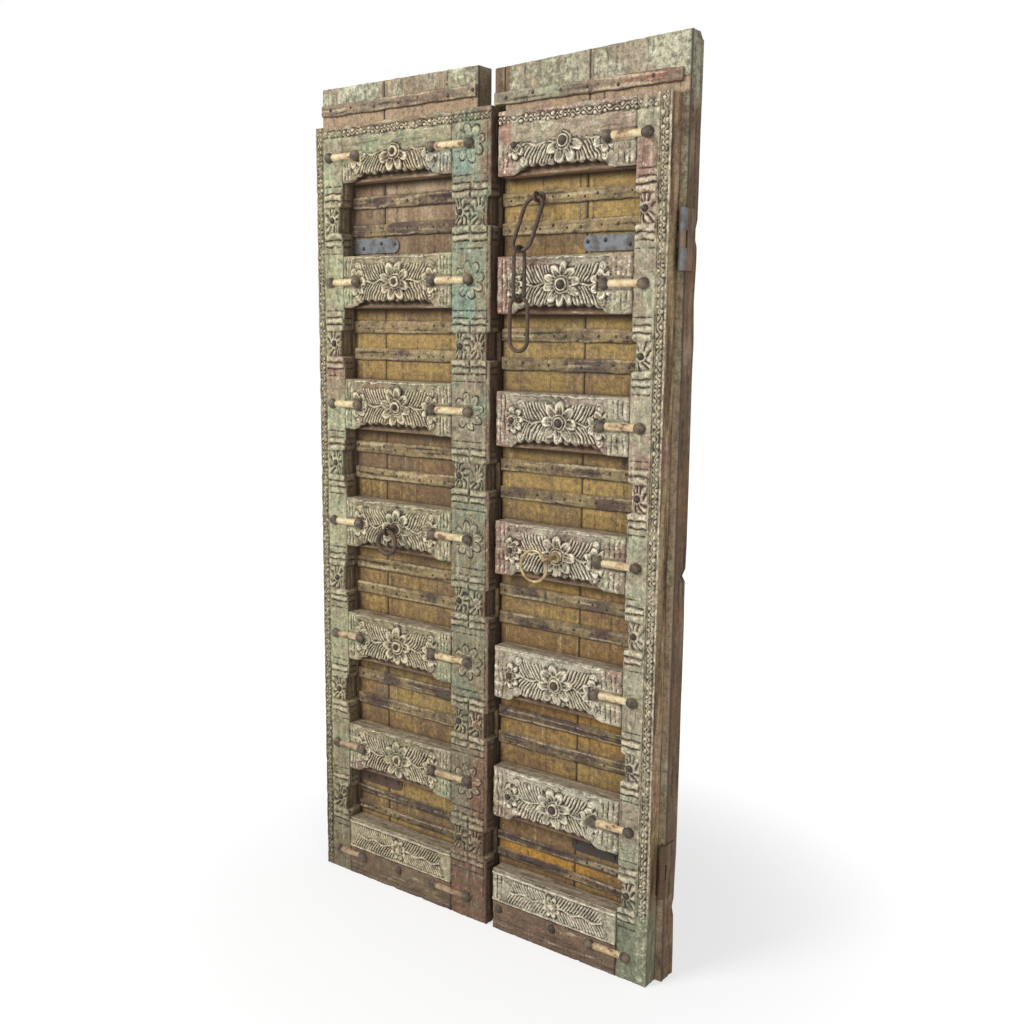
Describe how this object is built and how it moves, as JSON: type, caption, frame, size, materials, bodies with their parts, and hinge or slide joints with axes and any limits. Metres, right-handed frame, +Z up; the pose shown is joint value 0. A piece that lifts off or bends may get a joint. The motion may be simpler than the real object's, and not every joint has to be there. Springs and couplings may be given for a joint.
{
  "type": "carved temple door",
  "caption": "Pair of heavy plank door leaves faced with carved rails and stiles, hung on strap hinges, with pull rings and a closing chain.",
  "frame": {"origin": "on the floor, at the middle of the width of both leaves and of the planks' thickness", "axes": "+X to the right seen from the carved face, the carved face looks towards -Y, +Z up"},
  "size_m": [1.076, 0.1622, 2.109],
  "materials": {
    "carved_wood": "weathered carving with worn paint",
    "painted_wood": "worn green paint over brown wood",
    "plank_wood": "ochre limewash on rough planks",
    "batten_wood": "dark stained, dry",
    "rod_wood": "pale, worn smooth",
    "nail_iron": "dull, oxidised",
    "dark_iron": "forged, rusted",
    "bare_iron": "forged, oxidised",
    "brass": "dull, worn"
  },
  "bodies": {
    "jamb_hinges": {"left_upper_jamb_hinge": "bare_iron", "left_lower_jamb_hinge": "bare_iron", "right_upper_jamb_hinge": "bare_iron", "right_lower_jamb_hinge": "bare_iron"},
    "left_leaf": {"left_outer_plank": "plank_wood", "left_inner_plank": "plank_wood", "left_meeting_plank": "plank_wood", "left_hinge_stile": "painted_wood", "left_meeting_stile": "painted_wood", "left_head_batten": "batten_wood", "left_panel_battens_1": "batten_wood", "left_panel_battens_2": "batten_wood", "left_panel_battens_3": "batten_wood", "left_panel_battens_4": "batten_wood", "left_panel_battens_5": "batten_wood", "left_panel_battens_6": "batten_wood", "left_top_rail": "carved_wood", "left_rail_1": "carved_wood", "left_rail_2": "carved_wood", "left_rail_3": "carved_wood", "left_rail_4": "carved_wood", "left_rail_5": "carved_wood", "left_foot_rail": "carved_wood", "left_upper_strap": "dark_iron", "left_lower_strap": "dark_iron", "left_rods": "rod_wood", "left_boss_nails": "nail_iron", "left_ring_eye": "dark_iron"},
    "right_leaf": {"right_top_block": "plank_wood", "right_inner_plank": "plank_wood", "right_outer_plank": "plank_wood", "right_hinge_stile": "painted_wood", "right_head_batten": "batten_wood", "right_panel_battens_1": "batten_wood", "right_panel_battens_2": "batten_wood", "right_panel_battens_3": "batten_wood", "right_panel_battens_4": "batten_wood", "right_panel_battens_5": "batten_wood", "right_panel_battens_6": "batten_wood", "right_top_rail": "carved_wood", "right_rail_1": "carved_wood", "right_rail_2": "carved_wood", "right_rail_3": "carved_wood", "right_rail_4": "carved_wood", "right_rail_5": "carved_wood", "right_foot_rail": "carved_wood", "right_upper_strap": "dark_iron", "right_lower_strap": "dark_iron", "right_rods": "rod_wood", "right_boss_nails": "nail_iron", "right_ring_eye": "brass", "chain_staple": "dark_iron"},
    "left_pull_ring": {"left_ring": "dark_iron"},
    "right_pull_ring": {"right_ring": "brass"},
    "chain_first": {"chain_link_1": "dark_iron"},
    "chain_middle": {"chain_link_2": "dark_iron"},
    "chain_last": {"chain_link_3": "dark_iron"}
  },
  "joints": [
    {"name": "left_leaf_hinge", "type": "hinge", "parent": "jamb_hinges", "child": "left_leaf", "pos_m": [-0.5305, -0.034, 1.70297], "axis": [0, 0, -1], "range_deg": [0, 90]},
    {"name": "right_leaf_hinge", "type": "hinge", "parent": "jamb_hinges", "child": "right_leaf", "pos_m": [0.5305, -0.034, 1.68754], "axis": [0, 0, 1], "range_deg": [0, 90]},
    {"name": "left_ring_pivot", "type": "hinge", "parent": "left_leaf", "child": "left_pull_ring", "pos_m": [-0.2445, -0.108, 0.989], "axis": [-1, 0, 0], "range_deg": [-12, 90]},
    {"name": "right_ring_pivot", "type": "hinge", "parent": "right_leaf", "child": "right_pull_ring", "pos_m": [0.25313, -0.12, 0.9805], "axis": [-0.5, 0, 0.866], "range_deg": [-20, 100]},
    {"name": "chain_first_pivot", "type": "hinge", "parent": "right_leaf", "child": "chain_first", "pos_m": [0.1655, -0.049, 1.79272], "axis": [-1, 0, 0], "range_deg": [0, 55]},
    {"name": "chain_middle_pivot", "type": "hinge", "parent": "chain_first", "child": "chain_middle", "pos_m": [0.1655, -0.11165, 1.66976], "axis": [-1, 0, 0], "range_deg": [0, 45]},
    {"name": "chain_last_pivot", "type": "hinge", "parent": "chain_middle", "child": "chain_last", "pos_m": [0.1655, -0.11165, 1.55926], "axis": [0, 1, 0], "range_deg": [-45, 45]}
  ]
}
